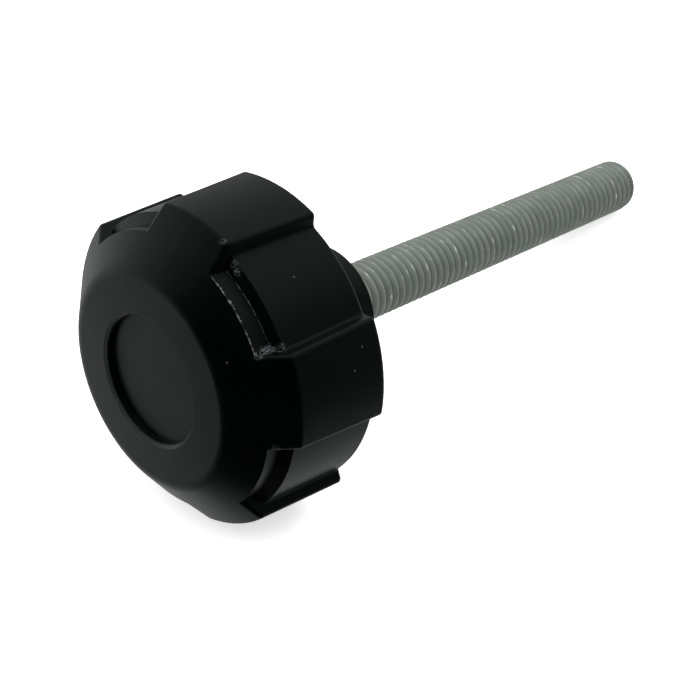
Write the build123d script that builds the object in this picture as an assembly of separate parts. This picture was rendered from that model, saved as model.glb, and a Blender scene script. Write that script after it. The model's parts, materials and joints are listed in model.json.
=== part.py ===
from build123d import *
from math import asin, atan2, cos, degrees, hypot, radians, sin, sqrt, tan
import os

# Lobed clamping knob with a threaded stud, lying on two lobes and on the stud's tip.
# Sizes are in millimetres and angles in degrees. Each piece is drawn about its own axis:
# Z runs from the knob's front face to the stud's tip, and X through the middle of one lobe.
# A station is a distance from the front face along that axis.

# Head
knob_d = 40.5              # across the lobes at their rear edge
head_depth = 17.7          # front face to the rear of the lobes
face_d = 26.2              # flat front face, to where it would meet the bevel
face_blend = 2.0           # radius between the front face and the bevel
bevel_angle = 38.5         # slope of the bevel behind the front face
mould_draft = 2.9          # taper of the lobes and of the grips towards the front

# Lobes, and the finger grips between them
lobe_count = 5
lobe_width = 11.7          # one lobe across, at the rear
lobe_taper = 2.5           # each side of a lobe closes in by this towards the front
flank_slope = 4.0          # each side of a lobe leans outwards by this towards its root
grip_depth = 1.45          # depth of a grip below the lobes
lip_d = 33.7               # narrow lip at the front of each grip
lip_back = 5.1             # front face to the rear of the lip
step_run = 0.6             # length of the slanted step from the lip up to the grip
edge_round = 0.6           # rounding of the edges of the lobes and of the rear outline
root_fillet = 0.5          # fillet where a lobe's side meets the grip

# Recess in the front face
recess_d = 15.5
recess_depth = 1.0
recess_draft = 8.0
recess_rim = 0.4           # chamfer of the rim

# Hub behind the lobes
hub_d = 16.0
hub_length = 11.6
hub_chamfer = 0.5          # at the hub's rear rim

# Stud: a metric 8 mm steel rod, with a hexagonal head moulded into the knob
stud_d = 7.9               # over the crests of the thread
stud_length = 64.5         # hub to tip
tip_chamfer = 1.1
shank_d = 7.1              # the rod inside the moulding, where it has no thread
thread_cover = 0.1         # the thread starts this far inside the hub
anchor_flats = 13.0        # across the flats of the hexagonal head
anchor_thickness = 5.3
anchor_cover = 6.0         # moulding between the recess floor and the hexagonal head

hub_station = head_depth + hub_length
anchor_station = recess_depth + anchor_cover
half_pitch = 180 / lobe_count
match = 0.01               # how close an edge lies to a surface that it belongs to


def lobe_radius(station):
    """Radius over the lobes."""
    return knob_d / 2 - (head_depth - station) * tan(radians(mould_draft))


def grip_radius(station):
    """Radius of a grip's floor."""
    return lobe_radius(station) - grip_depth


def bevel_end():
    """Station at which the bevel meets the outside of the lobes."""
    slope = tan(radians(bevel_angle))
    return slope * (lobe_radius(0) - face_d / 2) / (1 - slope * tan(radians(mould_draft)))


def turned(profile):
    """Solid turned about Z from (radius, station, rounding) corners."""
    corners = [(radius, station) for radius, station, rounding in profile]
    face = make_face(Plane.XZ * Polyline(*corners, close=True)).face()
    for radius, station, rounding in profile:
        if rounding > 0:
            corner = face.vertices().sort_by_distance((radius, 0, station))[0]
            face = face.fillet_2d(rounding, [corner])
    return revolve(face, Axis.Z, 360)


def blank():
    """The head before its grips are cut: recess, face, bevel, one round rim and the hub."""
    recess_floor_r = recess_d / 2 - recess_depth * tan(radians(recess_draft))
    return turned([
        (0, recess_depth, 0),
        (recess_floor_r, recess_depth, 0),
        (recess_d / 2, recess_rim, 0),
        (recess_d / 2 + recess_rim, 0, 0),
        (face_d / 2, 0, face_blend),
        (lobe_radius(bevel_end()), bevel_end(), 0),
        (knob_d / 2, head_depth, 0),
        (hub_d / 2, head_depth, 0),
        (hub_d / 2, hub_station - hub_chamfer, 0),
        (hub_d / 2 - hub_chamfer, hub_station, 0),
        (0, hub_station, 0),
    ])


def lobe_half_width(station, radius):
    """Half the width of a lobe, measured at a distance from the axis."""
    narrowing = (head_depth - station) * tan(radians(lobe_taper))
    widening = (knob_d / 2 - radius) * tan(radians(flank_slope))
    return lobe_width / 2 - narrowing + widening


def lobe_wedge():
    """The wedge that one lobe stands in: two flat sides, from the axis to past its outside."""
    wedge = Box(knob_d, knob_d, 3 * head_depth, align=(Align.MIN, Align.CENTER, Align.CENTER))
    for side in (-1, 1):
        flank = Plane(
            origin=(knob_d / 2, side * lobe_width / 2, head_depth),
            z_dir=(tan(radians(flank_slope)), side, -tan(radians(lobe_taper))),
        )
        wedge = split(wedge, flank, keep=Keep.BOTTOM)
    return wedge


def grips():
    """The spaces between the lobes: a lip at the front, a slanted step, then the grip's floor."""
    lip_r = lip_d / 2
    step_end = lip_back + step_run
    before = -edge_round
    beyond = head_depth + edge_round
    space = turned([
        (lip_r, before, 0),
        (lip_r, lip_back, 0),
        (grip_radius(step_end), step_end, 0),
        (grip_radius(beyond), beyond, 0),
        (knob_d, beyond, 0),
        (knob_d, before, 0),
    ])
    for turn in range(lobe_count):
        space -= Rot(Z=2 * half_pitch * turn) * lobe_wedge()
    roots = [edge for edge in space.edges() if is_root(edge)]
    return fillet(roots, root_fillet)


def is_root(edge):
    """Whether an edge of the grips is the foot of a lobe's side, behind the step."""
    middle = edge @ 0.5
    behind = middle.Z > lip_back + step_run
    runs_back = abs((edge @ 0).Z - (edge @ 1).Z) > step_run
    return behind and runs_back and hypot(middle.X, middle.Y) < knob_d / 2


def is_outer_edge(edge):
    """Whether an edge runs along a lobe's front or side, or along the rear outline."""
    if edge.geom_type == GeomType.LINE and edge.length > lobe_width:
        return False
    middle = edge @ 0.5
    radius = hypot(middle.X, middle.Y)
    bevel = (radius - face_d / 2) * tan(radians(bevel_angle))
    on_front = radius > lip_d / 2 + match and abs(middle.Z - bevel) < match
    on_rear = radius > hub_d / 2 + match and abs(middle.Z - head_depth) < match
    on_side = abs(radius - lobe_radius(middle.Z)) < match
    return on_front or on_rear or on_side


def knob_head():
    """The black moulding: face, recess, lobes, grips and hub, closed round the stud."""
    body = blank() - grips()
    body = fillet(body.edges().filter_by(is_outer_edge), edge_round)
    return body - threaded_stud()


def threaded_stud():
    """The steel stud, from its moulded-in hexagonal head to its chamfered tip."""
    hexagon = RegularPolygon(anchor_flats / 2, 6, major_radius=False, rotation=30)
    anchor = Pos(0, 0, anchor_station) * extrude(hexagon, anchor_thickness)
    thread_start = hub_station - thread_cover
    tip = hub_station + stud_length
    rod = turned([
        (0, anchor_station, 0),
        (shank_d / 2, anchor_station, 0),
        (shank_d / 2, thread_start, 0),
        (stud_d / 2, thread_start, 0),
        (stud_d / 2, tip - tip_chamfer, 0),
        (stud_d / 2 - tip_chamfer, tip, 0),
        (0, tip, 0),
    ])
    return anchor + rod


def resting_tilt():
    """Angle of the stud below the horizontal when the knob lies on two lobes and its tip.

    Each lobe touches with the rounded corner at the rear of its side, a ball of the edge
    rounding's radius, and the stud touches with the edge where its chamfer starts.
    """
    ball_radius = knob_d / 2 - edge_round
    ball_station = head_depth - edge_round
    ball_side = lobe_half_width(ball_station, ball_radius) - edge_round
    ball_along = sqrt(ball_radius ** 2 - ball_side ** 2)
    ball_low = ball_along * cos(radians(half_pitch)) + ball_side * sin(radians(half_pitch))
    drop = ball_low - stud_d / 2
    run = hub_station + stud_length - tip_chamfer - ball_station
    return degrees(atan2(drop, run) + asin(edge_round / hypot(drop, run)))


def resting(pieces):
    """The pieces laid on the ground, one lobe up, the stud pointing along X and down."""
    tilt = radians(resting_tilt())
    lying = Plane(
        origin=(0, 0, 0),
        x_dir=(sin(tilt), 0, cos(tilt)),
        z_dir=(cos(tilt), 0, -sin(tilt)),
    )
    turned_over = [piece.moved(lying.location) for piece in pieces]
    box = Compound(turned_over).bounding_box()
    centre = box.center()
    return [piece.moved(Location((-centre.X, -centre.Y, -box.min.Z))) for piece in turned_over]


def main():
    os.makedirs("parts", exist_ok=True)
    head, stud = resting([knob_head(), threaded_stud()])
    export_step(head, "parts/knob_head.step")
    export_step(stud, "parts/threaded_stud.step")


main()
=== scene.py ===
"""Dresses a lobed clamping knob: satin black moulding on a long zinc-plated threaded stud."""

import json
import logging
from dataclasses import dataclass, field
from enum import Enum
from math import atan2, cos, hypot, pi, radians, sin
from random import Random

import bpy
from mathutils import Matrix, Vector


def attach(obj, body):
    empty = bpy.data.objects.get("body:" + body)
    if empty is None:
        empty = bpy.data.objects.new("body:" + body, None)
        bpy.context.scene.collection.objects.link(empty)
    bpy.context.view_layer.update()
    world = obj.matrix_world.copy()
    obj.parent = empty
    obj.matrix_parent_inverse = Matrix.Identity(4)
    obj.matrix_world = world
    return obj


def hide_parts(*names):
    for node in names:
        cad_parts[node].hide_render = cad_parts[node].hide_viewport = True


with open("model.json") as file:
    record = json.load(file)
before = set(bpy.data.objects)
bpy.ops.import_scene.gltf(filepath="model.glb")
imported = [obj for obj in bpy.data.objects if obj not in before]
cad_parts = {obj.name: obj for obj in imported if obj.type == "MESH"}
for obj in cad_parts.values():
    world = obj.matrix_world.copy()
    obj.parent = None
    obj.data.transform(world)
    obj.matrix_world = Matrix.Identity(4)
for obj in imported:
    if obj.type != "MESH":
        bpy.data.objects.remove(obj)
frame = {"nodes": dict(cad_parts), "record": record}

logging.basicConfig(level=logging.INFO, format="%(message)s")
log = logging.getLogger("knob")

Colour = tuple[float, float, float]
Place = tuple[float, float, float]
Span = tuple[float, float]
Socket = bpy.types.NodeSocket

MM = 0.001
MERGE = 0.002 * MM          # vertices closer than this are one
ON_CUT = 0.01 * MERGE       # a vertex this close to a cut lies on it
CLEAR = 10 * MERGE          # keeps two faces from lying in one surface
SMOOTH_BELOW = radians(35)  # a sharper edge stays an edge
HEX_SIDES = 6
ROOT_BODY = "root"

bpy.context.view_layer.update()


class Slot(Enum):
    """Material slots of the record."""

    PLASTIC = "black_plastic"
    ZINC = "zinc_steel"


class Hand(Enum):
    """Which way a thread winds."""

    RIGHT = 1
    LEFT = -1


def start_fresh() -> None:
    """Leaves edit mode and deselects everything."""
    if bpy.context.object and bpy.context.object.mode != "OBJECT":
        bpy.ops.object.mode_set(mode="OBJECT")
    bpy.ops.object.select_all(action="DESELECT")


def pick(piece: bpy.types.Object) -> None:
    """Selects one object and nothing else, and makes it the active one.

    Args:
        piece: the object to select.
    """
    start_fresh()
    piece.select_set(True)
    bpy.context.view_layer.objects.active = piece


def named(piece: bpy.types.Object, name: str) -> bpy.types.Object:
    """Names an object and its mesh alike.

    Args:
        piece: the object.
        name: its new name.

    Returns:
        The same object.
    """
    piece.name = name
    piece.data.name = name
    return piece


def mount(name: str) -> dict:
    """Finds one of the record's mounts by its name."""
    return next(entry for entry in frame["record"]["mounts"] if entry["name"] == name)


def apply_modifier(piece: bpy.types.Object, modifier: bpy.types.Modifier) -> None:
    """Makes a modifier part of its object's mesh."""
    pick(piece)
    bpy.ops.object.modifier_apply(modifier=modifier.name)


def apply_place() -> None:
    """Puts the selected object's place, turn and scale into its mesh."""
    bpy.ops.object.transform_apply(location=True, rotation=True, scale=True)


def combine(piece: bpy.types.Object, other: bpy.types.Object, operation: str) -> None:
    """Joins or intersects two solids exactly, and deletes the second.

    Args:
        piece: the object that keeps the result.
        other: the object that is used up.
        operation: UNION, INTERSECT or DIFFERENCE.
    """
    cut = piece.modifiers.new("combine", "BOOLEAN")
    cut.operation = operation
    cut.solver = "EXACT"
    cut.object = other
    apply_modifier(piece, cut)
    bpy.data.objects.remove(other)


@dataclass(frozen=True)
class Lay:
    """Where the knob's own axis lies: from the front face towards the stud's tip.

    A station is a distance behind the front face. An angle is in degrees from the lobe that
    points up, clockwise as seen from in front of the face.

    Attributes:
        front: centre of the front face.
        axis: direction from the front face to the tip.
        up: direction through the middle of the lobe that points up.
    """

    front: Vector
    axis: Vector
    up: Vector

    @classmethod
    def from_frame(cls) -> "Lay":
        """Reads the axis from the stud's mount, and the front face from the head's solid.

        Returns:
            The knob's lay.
        """
        stud = mount("stud")
        on_axis, axis = Vector(stud["pos_m"]), Vector(stud["axis"])
        head = frame["nodes"]["knob_head"].data
        nearest = min((vertex.co - on_axis).dot(axis) for vertex in head.vertices)
        side = axis.cross(Vector((0, 0, 1))).normalized()
        return cls(on_axis + nearest * axis, axis, side.cross(axis))

    def matrix(self) -> Matrix:
        """Makes the turn and shift for a piece drawn about +Z with its lobe along +X.

        Returns:
            The matrix that lays the piece where the knob lies.
        """
        side = self.axis.cross(self.up)
        turn = Matrix((self.up, side, self.axis)).transposed().to_4x4()
        return Matrix.Translation(self.front) @ turn

    def at(self, radius: float, angle: float, station: float) -> Vector:
        """Finds the place at a radius, an angle and a station."""
        turn = radians(angle)
        return self.matrix() @ Vector((radius * cos(turn), radius * sin(turn), station))

    def station(self, point: Vector) -> float:
        """Finds the station of a point."""
        return (point - self.front).dot(self.axis)

    def set_down(self, piece: bpy.types.Object) -> None:
        """Moves a piece drawn about +Z to its place, and leaves its object at the origin.

        Args:
            piece: the piece.
        """
        pick(piece)
        piece.matrix_world = self.matrix() @ piece.matrix_world
        apply_place()


@dataclass(frozen=True)
class Pattern:
    """A cloudy pattern in a finish.

    Attributes:
        per_metre: how often it repeats in a metre.
        octaves: layers of finer detail.
        band: values of the noise between which the pattern changes.
    """

    per_metre: float
    octaves: float
    band: Span = (0.0, 1.0)


class NodeBoard:
    """A node tree, with short calls to add and join nodes."""

    def __init__(self, tree: bpy.types.NodeTree) -> None:
        """Works on the given tree."""
        self.tree = tree

    def add(self, kind: str, **values: object) -> bpy.types.Node:
        """Adds a node.

        Args:
            kind: the node's type name, without the ShaderNode prefix.
            **values: attributes of the node, or values of its input sockets.

        Returns:
            The new node.
        """
        node = self.tree.nodes.new("ShaderNode" + kind)
        for key, value in values.items():
            if hasattr(node, key):
                setattr(node, key, value)
            else:
                node.inputs[key.replace("_", " ")].default_value = value
        return node

    def link(self, source: Socket, target: Socket) -> None:
        """Joins an output socket to an input socket."""
        self.tree.links.new(source, target)

    def join(self, value: object, target: Socket) -> None:
        """Gives an input socket a value.

        Args:
            value: another node's output socket, or a constant.
            target: the input socket.
        """
        if isinstance(value, Socket):
            self.link(value, target)
        else:
            target.default_value = value

    def noise(self, place: Socket, pattern: Pattern) -> Socket:
        """Adds a noise texture.

        Args:
            place: the coordinates that it reads.
            pattern: its size and detail.

        Returns:
            The noise's value.
        """
        texture = self.add("TexNoise", Scale=pattern.per_metre, Detail=pattern.octaves)
        self.link(place, texture.inputs["Vector"])
        return texture.outputs["Fac"]

    def marks(self, place: Socket, pattern: Pattern) -> Socket:
        """Adds a noise texture, spread from 0 to 1 over its pattern's band."""
        return self.spread(self.noise(place, pattern), pattern.band, (0, 1))

    def spread(
        self, value: Socket, from_range: Span, to_range: Span, soft: bool = False
    ) -> Socket:
        """Maps a value from one range to another, clamped.

        Args:
            value: the value to map.
            from_range: the two ends read.
            to_range: what they become.
            soft: whether the change starts and ends gently.

        Returns:
            The mapped value's socket.
        """
        node = self.add("MapRange", interpolation_type="SMOOTHSTEP" if soft else "LINEAR")
        self.link(value, node.inputs["Value"])
        ends = ("From Min", "From Max", "To Min", "To Max")
        for socket, number in zip(ends, (*from_range, *to_range)):
            node.inputs[socket].default_value = number
        return node.outputs["Result"]

    def math(self, operation: str, first: Socket, second: object = 0) -> Socket:
        """Combines two values.

        Args:
            operation: name of the Math node's operation.
            first: the first value.
            second: the second value, a socket or a number.

        Returns:
            The result's socket.
        """
        node = self.add("Math", operation=operation)
        self.link(first, node.inputs[0])
        self.join(second, node.inputs[1])
        return node.outputs["Value"]

    def product(self, first: Socket, second: object) -> Socket:
        """Multiplies two values."""
        return self.math("MULTIPLY", first, second)

    def total(self, values: list[Socket]) -> Socket:
        """Adds values up.

        Args:
            values: one value or more.

        Returns:
            The sum's socket.
        """
        result = values[0]
        for value in values[1:]:
            result = self.math("ADD", result, value)
        return result

    def vector(self, operation: str, place: Socket, second: object = None) -> bpy.types.Node:
        """Works on coordinates.

        Args:
            operation: name of the Vector Math node's operation.
            place: the coordinates.
            second: a constant vector, where the operation takes one.

        Returns:
            The node.
        """
        node = self.add("VectorMath", operation=operation)
        self.link(place, node.inputs[0])
        if second is not None:
            node.inputs[1].default_value = second
        return node

    def blend(self, share: Socket, first: object, second: object) -> Socket:
        """Mixes two colours.

        Args:
            share: how much of the second colour, from 0 to 1.
            first: the first colour, a socket or its red, green and blue.
            second: the second colour.

        Returns:
            The mixed colour's socket.
        """
        node = self.add("Mix", data_type="RGBA")
        self.link(share, node.inputs["Factor"])
        sockets = [socket for socket in node.inputs if socket.type == "RGBA"]
        for socket, colour in zip(sockets, (first, second)):
            self.join(colour if isinstance(colour, Socket) else (*colour, 1), socket)
        return next(socket for socket in node.outputs if socket.type == "RGBA")

    def near(self, place: Socket, centre: Vector, inner: float, outer: float) -> Socket:
        """Marks the space round a point: 1 within the inner distance, 0 past the outer."""
        distance = self.vector("DISTANCE", place, centre).outputs["Value"]
        return self.spread(distance, (outer, inner), (0, 1), soft=True)

    def bump(self, height: Socket, depth: float, below: Socket | None = None) -> Socket:
        """Turns a height into a bump.

        Args:
            height: the height, from 0 to 1.
            depth: how far the surface moves, in metres.
            below: the bump that this one lies on.

        Returns:
            The normal's socket.
        """
        node = self.add("Bump", Distance=depth)
        self.link(height, node.inputs["Height"])
        if below is not None:
            self.link(below, node.inputs["Normal"])
        return node.outputs["Normal"]


class Finish(NodeBoard):
    """A material's node tree, with its shader and the object's coordinates."""

    def __init__(self, name: str) -> None:
        """Starts a material that has a Principled shader and nothing else.

        Args:
            name: the material's name.
        """
        self.material = bpy.data.materials.new(name)
        self.material.use_nodes = True
        super().__init__(self.material.node_tree)
        self.shader = self.tree.nodes["Principled BSDF"]
        self.place = self.add("TexCoord").outputs["Object"]

    def own_place(self, lay: Lay) -> Socket:
        """Gives places in the knob's own frame, Z along its axis from the front face.

        Args:
            lay: where the axis lies.

        Returns:
            The coordinates' socket.
        """
        back = lay.matrix().inverted()
        own = self.add("Mapping", vector_type="POINT")
        own.inputs["Location"].default_value = back.to_translation()
        own.inputs["Rotation"].default_value = back.to_euler()
        self.link(self.place, own.inputs["Vector"])
        return own.outputs["Vector"]

    def stretch(self, place: Socket, factors: Place) -> Socket:
        """Multiplies coordinates, each by its own factor."""
        return self.vector("MULTIPLY", place, factors).outputs["Vector"]

    def round_axis(self, lay: Lay) -> tuple[Socket, Socket]:
        """Measures from the knob's own axis.

        Args:
            lay: where the axis lies.

        Returns:
            Distance from the axis, and distance behind the front face.
        """
        own = self.own_place(lay)
        radius = self.vector("LENGTH", self.stretch(own, (1, 1, 0)))
        parts = self.add("SeparateXYZ")
        self.link(own, parts.inputs[0])
        return radius.outputs["Value"], parts.outputs["Z"]

    def feed(self, socket: str, value: object) -> None:
        """Gives one of the shader's inputs a socket to read, or a constant."""
        self.join(value, self.shader.inputs[socket])


@dataclass(frozen=True)
class Chafe:
    """A corner of the moulding that is rubbed pale.

    Attributes:
        radius: its distance from the axis.
        angle: its angle from the lobe that points up.
        station: its distance behind the front face.
        reach: how far the rubbing spreads.
        paleness: how pale it is in the middle, from 0 to 1.
    """

    radius: float
    angle: float
    station: float
    reach: float
    paleness: float


@dataclass(frozen=True)
class MouldedPlastic:
    """Black nylon, satin from the mould: faintly mottled, rubbed at some corners, a few specks.

    Attributes:
        name: the material's name.
        deep: colour of the darker clouds.
        light: colour of the lighter clouds.
        dust: colour of the specks.
        rim: colour of the painted highlight on the rim of the recess.
        pale: colour where it is rubbed.
        sheen_tint: colour of what it mirrors.
        smooth: least roughness.
        rough: most roughness.
        rubbed_rough: roughness where it is rubbed most.
        ior: index of refraction.
        clouds: mottling of colour and roughness.
        satin_band: values of the clouds between which the roughness changes.
        grain: fine grain of the mould.
        grain_depth: its depth.
        ripple: slow unevenness of the moulding.
        ripple_depth: its depth.
        scratches: fine breaks in the rubbed places.
        mark_core: share of a mark's reach over which it is full.
        chafes: the rubbed places.
        speck_size: radius of a speck.
        specks: radius, angle and station of each speck.
        rim_r: radius of the recess's rim, where the highlight is painted.
        rim_width: distance over which it fades.
        face_r: radius of the front face.
        face_rise: how far its middle stands out.
        face_depth: how far behind the front face the doming and the painted rim highlight reach.
        dome_end: where the doming ends, as a multiple of the face's radius squared.
    """

    name: str = "moulded_black_plastic"
    deep: Colour = (0.0003, 0.0008, 0.0006)
    light: Colour = (0.0007, 0.0016, 0.0012)
    dust: Colour = (0.05, 0.056, 0.055)
    rim: Colour = (0.022, 0.027, 0.024)
    pale: Colour = (0.14, 0.15, 0.16)
    sheen_tint: Colour = (0.84, 1.0, 0.90)
    smooth: float = 0.33
    rough: float = 0.40
    rubbed_rough: float = 0.7
    ior: float = 1.46
    clouds: Pattern = Pattern(90.0, 4, (0.35, 0.65))
    satin_band: Span = (0.3, 0.7)
    grain: Pattern = Pattern(2600.0, 2)
    grain_depth: float = 0.003 * MM
    ripple: Pattern = Pattern(160.0, 1)
    ripple_depth: float = 0.03 * MM
    scratches: Pattern = Pattern(4200.0, 5, (0.46, 0.62))
    mark_core: float = 0.3
    chafes: tuple[Chafe, ...] = (
        Chafe(16.9 * MM, 52.8, 3.4 * MM, 0.7 * MM, 0.5),
        Chafe(16.9 * MM, 52.6, 4.3 * MM, 0.8 * MM, 0.7),
        Chafe(17.0 * MM, 52.6, 5.1 * MM, 0.8 * MM, 0.9),
        Chafe(18.0 * MM, 53.1, 5.6 * MM, 0.7 * MM, 0.6),
        Chafe(17.9 * MM, 20.1, 5.6 * MM, 0.6 * MM, 0.5),
        Chafe(17.7 * MM, 23.0, 5.5 * MM, 0.6 * MM, 0.6),
        Chafe(19.5 * MM, 13.5, 5.2 * MM, 0.6 * MM, 0.3),
        Chafe(17.6 * MM, 88.9, 3.6 * MM, 0.6 * MM, 0.3),
    )
    speck_size: float = 0.16 * MM
    specks: tuple[Place, ...] = (
        (14.4 * MM, 51.7, 1.05 * MM),
        (18.45 * MM, 32.8, 10.9 * MM),
        (20.0 * MM, 68.6, 13.2 * MM),
        (20.1 * MM, 62.2, 14.8 * MM),
        (8.0 * MM, -138.2, 0.15 * MM),
    )
    rim_r: float = 8.0 * MM
    rim_width: float = 0.25 * MM
    face_r: float = 13.1 * MM
    face_rise: float = 0.28 * MM
    face_depth: float = 0.4 * MM
    dome_end: float = 1.2

    def crown(self, finish: Finish, lay: Lay) -> Socket:
        """Domes the front face slightly.

        Args:
            finish: the material's nodes.
            lay: where the knob's axis lies.

        Returns:
            The height, from 0 to 1.
        """
        radius, station = finish.round_axis(lay)
        share = finish.math("DIVIDE", radius, self.face_r)
        fall = finish.product(share, share)
        on_face = finish.math("LESS_THAN", station, self.face_depth)
        return finish.product(finish.spread(fall, (0, self.dome_end), (1, 0)), on_face)

    def rim_highlight(self, finish: Finish, lay: Lay) -> Socket:
        """Marks the rim of the recess, where a highlight is painted.

        Args:
            finish: the material's nodes.
            lay: where the knob's axis lies.

        Returns:
            1 on the rim, falling to 0.
        """
        radius, station = finish.round_axis(lay)
        off_rim = finish.math("ABSOLUTE", finish.math("SUBTRACT", radius, self.rim_r))
        ring = finish.spread(off_rim, (self.rim_width, 0), (0, 1))
        return finish.product(ring, finish.math("LESS_THAN", station, self.face_depth))

    def mark(self, finish: Finish, centre: Vector, reach: float) -> Socket:
        """Marks a small round place: 1 in its middle, falling to 0 at its reach."""
        return finish.near(finish.place, centre, self.mark_core * reach, reach)

    def speckled(self, finish: Finish, lay: Lay) -> Socket:
        """Marks the specks."""
        places = [lay.at(*speck) for speck in self.specks]
        return finish.total([self.mark(finish, place, self.speck_size) for place in places])

    def rubbed(self, finish: Finish, lay: Lay) -> Socket:
        """Marks the chafed corners, scratchy and pale.

        Args:
            finish: the material's nodes.
            lay: where the knob's axis lies.

        Returns:
            How pale the surface is rubbed, from 0 to 1.
        """
        broken = finish.marks(finish.place, self.scratches)
        shares = []
        for chafe in self.chafes:
            centre = lay.at(chafe.radius, chafe.angle, chafe.station)
            shares.append(finish.product(self.mark(finish, centre, chafe.reach), chafe.paleness))
        return finish.product(broken, finish.total(shares))

    def build(self, lay: Lay) -> bpy.types.Material:
        """Makes the material.

        Args:
            lay: where the knob's axis lies.

        Returns:
            The material.
        """
        finish = Finish(self.name)
        clouds = finish.noise(finish.place, self.clouds)
        mottling = finish.spread(clouds, self.clouds.band, (0, 1))
        black = finish.blend(mottling, self.deep, self.light)
        # Painted highlight: the rim of the recess is lightened in colour to stand in for light
        # caught by its edge.
        lightened = finish.blend(self.rim_highlight(finish, lay), black, self.rim)
        dusty = finish.blend(self.speckled(finish, lay), lightened, self.dust)
        rubbed = self.rubbed(finish, lay)
        finish.feed("Base Color", finish.blend(rubbed, dusty, self.pale))
        satin = finish.spread(clouds, self.satin_band, (self.smooth, self.rough))
        scuffed = finish.product(rubbed, self.rubbed_rough)
        finish.feed("Roughness", finish.math("MAXIMUM", satin, scuffed))
        domed = finish.bump(self.crown(finish, lay), self.dome_end * self.face_rise)
        ripple = finish.noise(finish.place, self.ripple)
        uneven = finish.bump(ripple, self.ripple_depth, domed)
        grain = finish.noise(finish.place, self.grain)
        finish.feed("Normal", finish.bump(grain, self.grain_depth, uneven))
        finish.feed("IOR", self.ior)
        finish.feed("Specular Tint", (*self.sheen_tint, 1))
        return finish.material


@dataclass(frozen=True)
class ZincPlate:
    """Dull zinc plating over a rolled thread: crests rubbed lighter, with some bright glints.

    Attributes:
        name: the material's name.
        groove: colour at the bottom of the thread.
        crest: colour of a rubbed crest.
        stain: colour of a dull crest.
        bright: colour of a glint.
        smooth: least roughness.
        rough: most roughness.
        metal: how metallic it is.
        wear: where the crests are rubbed.
        patches: where it is smooth or rough.
        glints: where highlights are painted along the crests.
        glint_slimness: how much longer a glint is than wide.
        dents: slow unevenness.
        dent_depth: its depth.
        pits: fine pits.
        pit_depth: their depth.
        flank_band: share of the thread's height over which the groove's colour fades.
        crest_band: share of the thread's height over which glints start.
    """

    name: str = "dull_zinc_plate"
    groove: Colour = (0.18, 0.205, 0.18)
    crest: Colour = (0.25, 0.275, 0.245)
    stain: Colour = (0.19, 0.22, 0.195)
    bright: Colour = (0.62, 0.66, 0.60)
    smooth: float = 0.28
    rough: float = 0.52
    metal: float = 0.40
    wear: Pattern = Pattern(420.0, 3, (0.35, 0.65))
    patches: Pattern = Pattern(110.0, 2, (0.3, 0.7))
    glints: Pattern = Pattern(560.0, 2, (0.63, 0.70))
    glint_slimness: float = 5.0
    dents: Pattern = Pattern(380.0, 2)
    dent_depth: float = 0.10 * MM
    pits: Pattern = Pattern(1800.0, 3)
    pit_depth: float = 0.02 * MM
    flank_band: Span = (0.1, 0.9)
    crest_band: Span = (0.8, 1.0)

    def build(self, lay: Lay, groove_r: float, crest_r: float) -> bpy.types.Material:
        """Makes the material.

        Args:
            lay: where the stud's axis lies.
            groove_r: radius at the bottom of the thread.
            crest_r: radius over the crests.

        Returns:
            The material.
        """
        finish = Finish(self.name)
        radius, _ = finish.round_axis(lay)
        height = finish.spread(radius, (groove_r, crest_r), (0, 1))
        lightened = finish.blend(finish.marks(finish.place, self.wear), self.stain, self.crest)
        flank = finish.spread(height, self.flank_band, (0, 1))
        colour = finish.blend(flank, self.groove, lightened)
        # Painted highlights: bright glints on the crests stand in for the lamp's reflection.
        along = finish.stretch(finish.own_place(lay), (1, 1, self.glint_slimness))
        on_crest = finish.spread(height, self.crest_band, (0, 1))
        glint = finish.product(finish.marks(along, self.glints), on_crest)
        finish.feed("Base Color", finish.blend(glint, colour, self.bright))
        patches = finish.noise(finish.place, self.patches)
        rough = finish.spread(patches, self.patches.band, (self.smooth, self.rough))
        finish.feed("Roughness", rough)
        dented = finish.bump(finish.noise(finish.place, self.dents), self.dent_depth)
        pitted = finish.bump(finish.noise(finish.place, self.pits), self.pit_depth, dented)
        finish.feed("Normal", pitted)
        finish.feed("Metallic", self.metal)
        return finish.material


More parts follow.
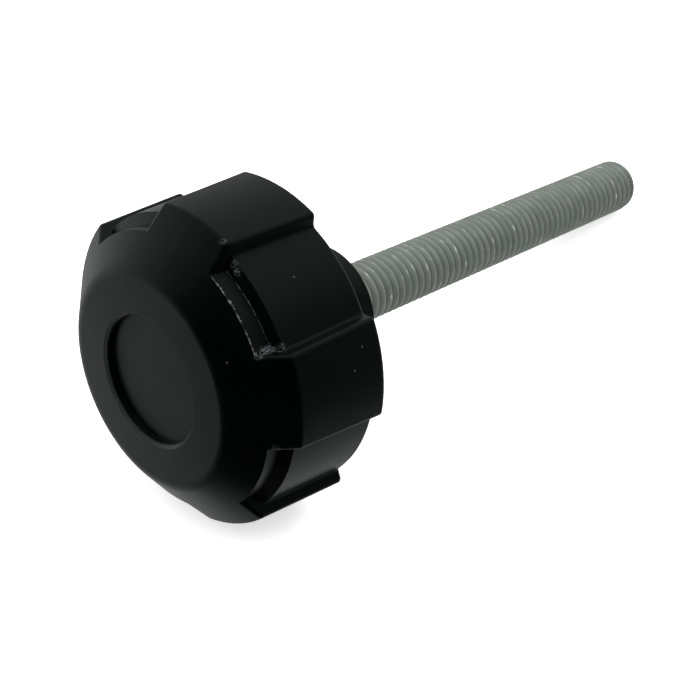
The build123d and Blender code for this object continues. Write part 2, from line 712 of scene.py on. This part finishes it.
@dataclass
class ThreadedStud:
    """The steel stud: rolled metric thread, rounded tip, and its head inside the moulding.

    Attributes:
        lay: where its axis lies.
        thread_from: station at which the thread starts, just inside the hub.
        tip: station of the tip.
        crest_r: radius over the crests.
        cover: how far inside the hub the thread starts.
        pitch: distance from one turn to the next.
        depth: depth of the thread.
        crest_flat: width of a crest, as a share of the pitch.
        root_flat: width of a groove's floor, as a share of the pitch.
        crest_inset: how far a crest's full height starts in from its flank, as a share of it.
        edge_break: how far a crest's edge is rounded off, as a share of depth and flank.
        rounding: radius of the rounded edge at the tip.
        rounding_steps: faces across that edge.
        shank_r: radius of the rod inside the moulding.
        shank_lap: how far the shank runs into the thread.
        shank_facets: segments round the shank.
        anchor_from: station of the front of the hexagonal head.
        anchor_thickness: its thickness.
        anchor_flats: its width across the flats.
        anchor_lap: how far the shank runs into the hexagonal head.
        facets: segments round the thread.
        lead_turns: turns wound before the thread's start, which are cut off.
        spare_turns: turns wound past its end, which are cut off.
        hand: which way it winds.
        finish: its plating.
    """

    lay: Lay
    thread_from: float
    tip: float
    crest_r: float
    cover: float = 0.1 * MM
    pitch: float = 1.25 * MM
    depth: float = 0.5 * MM
    crest_flat: float = 0.25
    root_flat: float = 0.14
    crest_inset: float = 0.25
    edge_break: float = 0.12
    rounding: float = 1.9 * MM
    rounding_steps: int = 6
    shank_r: float = 3.55 * MM
    shank_lap: float = 0.05 * MM
    shank_facets: int = 48
    anchor_from: float = 7.0 * MM
    anchor_thickness: float = 5.3 * MM
    anchor_flats: float = 13.0 * MM
    anchor_lap: float = 0.5 * MM
    facets: int = 56
    lead_turns: int = 2
    spare_turns: int = 3
    hand: Hand = Hand.RIGHT
    finish: ZincPlate = field(default_factory=ZincPlate)

    @classmethod
    def from_frame(cls, lay: Lay) -> "ThreadedStud":
        """Takes the stud's radius and ends from its mount and its solid.

        Args:
            lay: where its axis lies.

        Returns:
            The stud, not yet built.
        """
        solid = frame["nodes"]["threaded_stud"].data
        tip = max(lay.station(vertex.co) for vertex in solid.vertices)
        seat = lay.station(Vector(mount("hub_seat")["pos_m"]))
        return cls(lay, seat - cls.cover, tip, mount("stud")["dims"]["r_mm"] * MM)

    def thread_profile(self) -> list[tuple[float, float]]:
        """Draws one turn's outline, with soft crest edges.

        Returns:
            (radius, distance along) from the start of a groove's floor to the start of the next.
        """
        root_r = self.crest_r - self.depth
        edge_r = self.crest_r - self.edge_break * self.depth
        flank = (1 - self.crest_flat - self.root_flat) / 2
        crest_from = self.root_flat + flank
        crest_to = crest_from + self.crest_flat
        inset = self.crest_inset * flank
        broken = self.edge_break * flank
        outline = [
            (root_r, 0.0),
            (root_r, self.root_flat),
            (edge_r, crest_from - broken),
            (self.crest_r, crest_from + inset),
            (self.crest_r, crest_to - inset),
            (edge_r, crest_to + broken),
            (root_r, 1.0),
        ]
        return [(radius, share * self.pitch) for radius, share in outline]

    def draw_turn(self, start: float) -> bpy.types.Object:
        """Draws one turn's outline as a wire, extruded point by point.

        Args:
            start: station of its first point.

        Returns:
            The wire.
        """
        start_fresh()
        outline = self.thread_profile()
        bpy.ops.mesh.primitive_plane_add(size=self.pitch, location=(0, 0, 0))
        wire = named(bpy.context.object, "threaded_stud_zinc")
        bpy.ops.object.mode_set(mode="EDIT")
        bpy.ops.mesh.select_all(action="SELECT")
        bpy.ops.mesh.merge(type="CENTER")
        bpy.ops.transform.translate(value=(outline[0][0], 0, start))
        for (r0, z0), (r1, z1) in zip(outline, outline[1:]):
            bpy.ops.mesh.extrude_region_move(
                TRANSFORM_OT_translate={"value": (r1 - r0, 0, z1 - z0)}
            )
        bpy.ops.object.mode_set(mode="OBJECT")
        return wire

    def wind_thread(self) -> bpy.types.Object:
        """Winds one turn's outline about +Z, from before the thread's start to past its end.

        Returns:
            The wound thread, open at both ends.
        """
        first = self.thread_from - self.lead_turns * self.pitch
        turns = int((self.tip - first) / self.pitch) + self.spare_turns
        thread = self.draw_turn(first)
        wind = thread.modifiers.new("wind", "SCREW")
        wind.axis = "Z"
        wind.steps = wind.render_steps = self.facets
        wind.screw_offset = self.hand.value * self.pitch
        wind.iterations = turns
        wind.use_merge_vertices = True
        wind.merge_threshold = MERGE
        apply_modifier(thread, wind)
        bpy.ops.object.mode_set(mode="EDIT")
        bpy.ops.mesh.select_all(action="SELECT")
        bpy.ops.mesh.remove_doubles(threshold=MERGE)
        bpy.ops.object.mode_set(mode="OBJECT")
        return thread

    def trim_end(self, thread: bpy.types.Object, station: float, above: bool) -> None:
        """Cuts the wound thread square and closes the cut.

        Args:
            thread: the thread, drawn about +Z.
            station: where the cut lies.
            above: whether the part above the cut goes.
        """
        pick(thread)
        bpy.ops.object.mode_set(mode="EDIT")
        bpy.ops.mesh.select_all(action="SELECT")
        bpy.ops.mesh.bisect(
            plane_co=(0, 0, station),
            plane_no=(0, 0, 1),
            use_fill=True,
            clear_outer=above,
            clear_inner=not above,
            threshold=ON_CUT,
        )
        bpy.ops.mesh.select_all(action="SELECT")
        bpy.ops.mesh.normals_make_consistent(inside=False)
        bpy.ops.object.mode_set(mode="OBJECT")

    def rod(self, radius: float, start: float, end: float, sides: int) -> bpy.types.Object:
        """Makes a plain rod about +Z.

        Args:
            radius: its radius, to its corners.
            start: station of its near end.
            end: station of its far end.
            sides: corners round it.

        Returns:
            The rod.
        """
        start_fresh()
        middle = (start + end) / 2
        bpy.ops.mesh.primitive_cylinder_add(
            vertices=sides, radius=radius, depth=end - start, location=(0, 0, middle)
        )
        apply_place()
        return bpy.context.object

    def rounded_bar(self) -> bpy.types.Object:
        """Makes the bar that the thread is cut from, its far edge rounded.

        Returns:
            The bar, about +Z.
        """
        bar = self.rod(self.crest_r + CLEAR, self.thread_from, self.tip, 2 * self.facets)
        middle = (self.thread_from + self.tip) / 2
        for vertex in bar.data.vertices:
            vertex.select = vertex.co.z > middle
        for rim in (*bar.data.edges, *bar.data.polygons):
            rim.select = all(bar.data.vertices[corner].select for corner in rim.vertices)
        bpy.ops.object.mode_set(mode="EDIT")
        bpy.ops.mesh.bevel(offset=self.rounding, segments=self.rounding_steps, affect="EDGES")
        bpy.ops.object.mode_set(mode="OBJECT")
        return bar

    def build(self) -> bpy.types.Object:
        """Builds the whole stud where it lies: thread, shank and hexagonal head in one.

        Returns:
            The stud.
        """
        thread = self.wind_thread()
        self.trim_end(thread, self.thread_from, above=False)
        self.trim_end(thread, self.tip, above=True)
        combine(thread, self.rounded_bar(), "INTERSECT")
        anchor_end = self.anchor_from + self.anchor_thickness
        lapped = (anchor_end - self.anchor_lap, self.thread_from + self.shank_lap)
        combine(thread, self.rod(self.shank_r, *lapped, self.shank_facets), "UNION")
        corner_r = self.anchor_flats / 2 / cos(pi / HEX_SIDES)
        combine(thread, self.rod(corner_r, self.anchor_from, anchor_end, HEX_SIDES), "UNION")
        self.lay.set_down(thread)
        bpy.ops.object.shade_smooth_by_angle(angle=SMOOTH_BELOW)
        return thread

    def dress(self, stud: bpy.types.Object) -> None:
        """Gives the stud its plating, ties it to the model and hides the stud's solid.

        Args:
            stud: the built stud.
        """
        plate = self.finish.build(self.lay, self.crest_r - self.depth, self.crest_r)
        stud.data.materials.clear()
        stud.data.materials.append(plate)
        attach(stud, ROOT_BODY)
        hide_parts("threaded_stud")


@dataclass(frozen=True)
class TornPlastic:
    """Thin flash, torn and whitened where the mould's halves met.

    Attributes:
        name: the material's name.
        dark: colour where it is whole.
        pale: colour where it is torn.
        roughness: its roughness.
        tears: where it is torn.
    """

    name: str = "torn_pale_plastic"
    dark: Colour = (0.006, 0.007, 0.007)
    pale: Colour = (0.16, 0.17, 0.175)
    roughness: float = 0.55
    tears: Pattern = Pattern(1500.0, 3, (0.45, 0.68))

    def build(self) -> bpy.types.Material:
        """Makes the material.

        Returns:
            The material.
        """
        finish = Finish(self.name)
        tears = finish.marks(finish.place, self.tears)
        finish.feed("Base Color", finish.blend(tears, self.dark, self.pale))
        finish.feed("Roughness", self.roughness)
        return finish.material


@dataclass(frozen=True)
class RidgeSize:
    """Place and size of a ridge of flash.

    Attributes:
        name: its name.
        station: its distance behind the front face.
        height: how far it stands out at most.
        thickness: its thickness at the root.
        seed: start of the random tears.
    """

    name: str
    station: float
    height: float
    thickness: float
    seed: int


@dataclass
class Flash:
    """A ragged ridge of flash along an edge that runs round the head.

    Attributes:
        size: its place along the axis, and its size.
        lay: where the knob's axis lies.
        radius: distance of the edge from the axis.
        start: angle at which it starts.
        end: angle at which it ends.
        steps: pieces along it.
        least: height that is left where it is torn most, as a share of its height.
        rarity: how seldom it keeps its full height.
        sharpness: thickness of its outer edge, as a share of its root's.
        turn_digits: digits by which points at the same angle are told.
    """

    size: RidgeSize
    lay: Lay
    radius: float
    start: float
    end: float
    steps: int = 90
    least: float = 0.1
    rarity: int = 3
    sharpness: float = 0.35
    turn_digits: int = 5

    def build(self) -> bpy.types.Object:
        """Spins a small bar round the axis, tears its outer edge and sets it in place.

        Returns:
            The ridge.
        """
        start_fresh()
        bpy.ops.mesh.primitive_plane_add(
            size=1, location=(self.radius, 0, self.size.station), rotation=(pi / 2, 0, 0)
        )
        ridge = named(bpy.context.object, self.size.name)
        ridge.scale = (2 * self.size.height, self.size.thickness, 1)
        apply_place()
        bpy.ops.object.mode_set(mode="EDIT")
        bpy.ops.mesh.select_all(action="SELECT")
        sweep = radians(self.end - self.start)
        bpy.ops.mesh.spin(steps=self.steps, angle=sweep, center=(0, 0, 0), axis=(0, 0, 1))
        bpy.ops.mesh.select_all(action="SELECT")
        bpy.ops.mesh.remove_doubles(threshold=MERGE)
        bpy.ops.mesh.normals_make_consistent(inside=False)
        bpy.ops.object.mode_set(mode="OBJECT")
        self.tear(ridge)
        ridge.rotation_euler = (0, 0, self.turn_to_place(ridge))
        apply_place()
        self.lay.set_down(ridge)
        return ridge

    def turn_to_place(self, ridge: bpy.types.Object) -> float:
        """Finds the turn about the axis that brings the spun ridge to its place.

        Args:
            ridge: the spun ridge, about +Z.

        Returns:
            The turn, in radians.
        """
        corners = [vertex.co for vertex in ridge.data.vertices]
        middle = sum(corners, Vector()) / len(corners)
        return radians((self.start + self.end) / 2) - atan2(middle.y, middle.x)

    def tear(self, ridge: bpy.types.Object) -> None:
        """Pulls the outer edge in by a different amount at each step, and thins it.

        Args:
            ridge: the spun ridge, about +Z.
        """
        chance = Random(self.size.seed)
        sunk = self.radius - self.size.height
        reach = {}
        for vertex in ridge.data.vertices:
            radius = hypot(vertex.co.x, vertex.co.y)
            if radius < (sunk + self.radius) / 2:
                continue
            turn = round(atan2(vertex.co.y, vertex.co.x), self.turn_digits)
            if turn not in reach:
                kept = self.least + (1 - self.least) * chance.random() ** self.rarity
                reach[turn] = self.size.height * kept
            scale = (self.radius + reach[turn]) / radius
            vertex.co.x *= scale
            vertex.co.y *= scale
            off_middle = vertex.co.z - self.size.station
            vertex.co.z = self.size.station + off_middle * self.sharpness

    def dress(self, ridge: bpy.types.Object, plastic: bpy.types.Material) -> None:
        """Gives the flash its finish and ties it to the model.

        Args:
            ridge: the built ridge.
            plastic: its finish.
        """
        ridge.data.materials.append(plastic)
        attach(ridge, ROOT_BODY)


@dataclass
class MouldedHead:
    """The black moulding, whose solid is shown as it is, and the flash on one of its lips.

    Attributes:
        lay: where the knob's axis lies.
        finish: its plastic.
        torn: the finish of its flash.
        lip_r: radius of the lip at the front of each grip.
        flash_start: angle at which the flash starts, at the lobe that points up.
        flash_end: angle at which it ends, at the next lobe.
        ridges: the flash along the lip's front edge and along its rear edge.
    """

    lay: Lay
    finish: MouldedPlastic = field(default_factory=MouldedPlastic)
    torn: TornPlastic = field(default_factory=TornPlastic)
    lip_r: float = 16.85 * MM
    flash_start: float = 19.5
    flash_end: float = 52.5
    ridges: tuple[RidgeSize, ...] = (
        RidgeSize("lip_front_flash", 2.98 * MM, 0.30 * MM, 0.14 * MM, 3),
        RidgeSize("lip_rear_flash", 5.1 * MM, 0.12 * MM, 0.10 * MM, 8),
    )

    def trim(self) -> list[bpy.types.Object]:
        """Builds the flash along the lip, in the grip beside the lobe that points up.

        Returns:
            The ridges.
        """
        torn = self.torn.build()
        pieces = []
        for size in self.ridges:
            flash = Flash(size, self.lay, self.lip_r, self.flash_start, self.flash_end)
            piece = flash.build()
            flash.dress(piece, torn)
            pieces.append(piece)
        return pieces

    def dress(self) -> bpy.types.Object:
        """Gives the head's solid its plastic.

        Returns:
            The head.
        """
        head = frame["nodes"]["knob_head"]
        plastic = self.finish.build(self.lay)
        for slot in head.material_slots:
            slot.material = plastic
        return head


@dataclass(frozen=True)
class Patch:
    """A part of the room that is darker or brighter than the rest.

    Attributes:
        name: what is there.
        azimuth: its direction on the compass, in degrees from +X towards +Y.
        elevation: its height above the horizon, in degrees.
        inner: angle from its middle up to which it is full, in degrees.
        outer: angle at which the rest of the room starts, in degrees.
        factor: its brightness as a multiple of the rest.
    """

    name: str
    azimuth: float
    elevation: float
    inner: float
    outer: float
    factor: float

    def direction(self) -> Vector:
        """Points from the object to the middle of the patch.

        Returns:
            A unit vector.
        """
        azimuth, elevation = radians(self.azimuth), radians(self.elevation)
        level = cos(elevation)
        return Vector((level * cos(azimuth), level * sin(azimuth), sin(elevation)))

    def edges(self) -> Span:
        """Gives the cosines of its outer and inner angles."""
        return cos(radians(self.outer)), cos(radians(self.inner))


@dataclass(frozen=True)
class SoftLight:
    """A square studio light over the floor, which no surface mirrors.

    Attributes:
        name: its name.
        place: where it hangs.
        size: its width.
        power: its power in watts.
    """

    name: str
    place: Place
    size: float
    power: float

    def build(self) -> bpy.types.Object:
        """Hangs the light, facing the object.

        Returns:
            The light.
        """
        lamp = bpy.data.lights.new(self.name, "AREA")
        lamp.size = self.size
        lamp.energy = self.power
        light = bpy.data.objects.new(self.name, lamp)
        bpy.context.scene.collection.objects.link(light)
        light.location = self.place
        light.rotation_euler = Vector(self.place).to_track_quat("Z", "Y").to_euler()
        light.visible_glossy = False
        return light


@dataclass
class Studio:
    """Pale floor, soft light, and the camera at the photograph's viewing angle.

    Attributes:
        floor_size: width of the floor.
        floor_tone: its colour.
        floor_glow: how much light it gives off, which keeps the shadows faint.
        room_tone: colour of the room's light.
        room_brightness: its strength where no patch changes it.
        backdrop: brightness of the room as the camera sees it behind the floor.
        patches: darker and brighter parts of the room.
        camera_place: where the camera stands.
        camera_view: direction in which it looks.
        lens_mm: its focal length.
        clip_near: distance at which it starts to see.
        lights: the studio's lights.
    """

    floor_size: float = 6.0
    floor_tone: Colour = (0.86, 0.86, 0.86)
    floor_glow: float = 0.65
    room_tone: Colour = (0.97, 1.0, 0.98)
    room_brightness: float = 0.42
    backdrop: float = 1.0
    patches: tuple[Patch, ...] = (
        Patch("behind the camera", -138.0, 2.0, 64.0, 100.0, 0.0),
        Patch("right of the camera", -45.0, 0.0, 18.0, 50.0, 0.35),
        Patch("ceiling", 0.0, 90.0, 20.0, 95.0, 0.60),
        Patch("bright wall", 100.0, -25.0, 20.0, 55.0, 1.4),
    )
    camera_place: Place = (-103.47 * MM, -91.111 * MM, 122.949 * MM)
    camera_view: Place = (0.52181, 0.52493, -0.67243)
    lens_mm: float = 66.872
    clip_near: float = 0.01
    lights: tuple[SoftLight, ...] = (
        SoftLight("overhead", (0.05, 0.05, 0.9), 1.8, 26.0),
    )

    def build_floor(self) -> bpy.types.Object:
        """Lays the floor under the object.

        Returns:
            The floor.
        """
        start_fresh()
        bpy.ops.mesh.primitive_plane_add(size=self.floor_size, location=(0, 0, 0))
        floor = named(bpy.context.object, "floor")
        paint = Finish("pale_floor")
        paint.feed("Base Color", (*self.floor_tone, 1))
        paint.feed("Roughness", 1.0)
        paint.feed("Specular IOR Level", 0.0)
        paint.feed("Emission Color", (1, 1, 1, 1))
        paint.feed("Emission Strength", self.floor_glow)
        floor.data.materials.append(paint.material)
        floor.visible_glossy = False
        return floor

    def build_room(self) -> None:
        """Fills the room with soft light, less the patches, and shows it as a pale backdrop."""
        world = bpy.data.worlds.new("soft_room")
        world.use_nodes = True
        board = NodeBoard(world.node_tree)
        way = board.add("TexCoord").outputs["Generated"]
        brightness = self.room_brightness
        for patch in self.patches:
            facing = board.vector("DOT_PRODUCT", way, patch.direction()).outputs["Value"]
            share = board.spread(facing, patch.edges(), (1, patch.factor), soft=True)
            brightness = board.product(share, brightness)
        seen = board.product(board.add("LightPath").outputs["Is Camera Ray"], self.backdrop)
        background = world.node_tree.nodes["Background"]
        background.inputs["Color"].default_value = (*self.room_tone, 1)
        board.link(board.math("MAXIMUM", brightness, seen), background.inputs["Strength"])
        bpy.context.scene.world = world

    def build_camera(self) -> bpy.types.Object:
        """Sets the camera where the photograph was taken from.

        Returns:
            The camera.
        """
        lens = bpy.data.cameras.new("camera")
        lens.lens = self.lens_mm
        lens.clip_start = self.clip_near
        camera = bpy.data.objects.new("camera", lens)
        bpy.context.scene.collection.objects.link(camera)
        camera.location = self.camera_place
        camera.rotation_euler = Vector(self.camera_view).to_track_quat("-Z", "Y").to_euler()
        bpy.context.scene.camera = camera
        return camera

    def build(self) -> None:
        """Builds the floor, the room, the lights and the camera."""
        self.build_floor()
        self.build_room()
        for light in self.lights:
            light.build()
            log.info("light %s", light.name)
        self.build_camera()
        bpy.context.scene.view_settings.view_transform = "Standard"


def main() -> None:
    """Builds the stud, dresses the head, and sets up the studio."""
    lay = Lay.from_frame()
    stud = ThreadedStud.from_frame(lay)
    piece = stud.build()
    stud.dress(piece)
    log.info("stud %s: %d faces", piece.name, len(piece.data.polygons))
    moulding = MouldedHead(lay)
    head = moulding.dress()
    log.info("head %s: %d faces", head.name, len(head.data.polygons))
    for piece in moulding.trim():
        log.info("flash %s: %d faces", piece.name, len(piece.data.polygons))
    Studio().build()


if __name__ == "__main__":
    main()
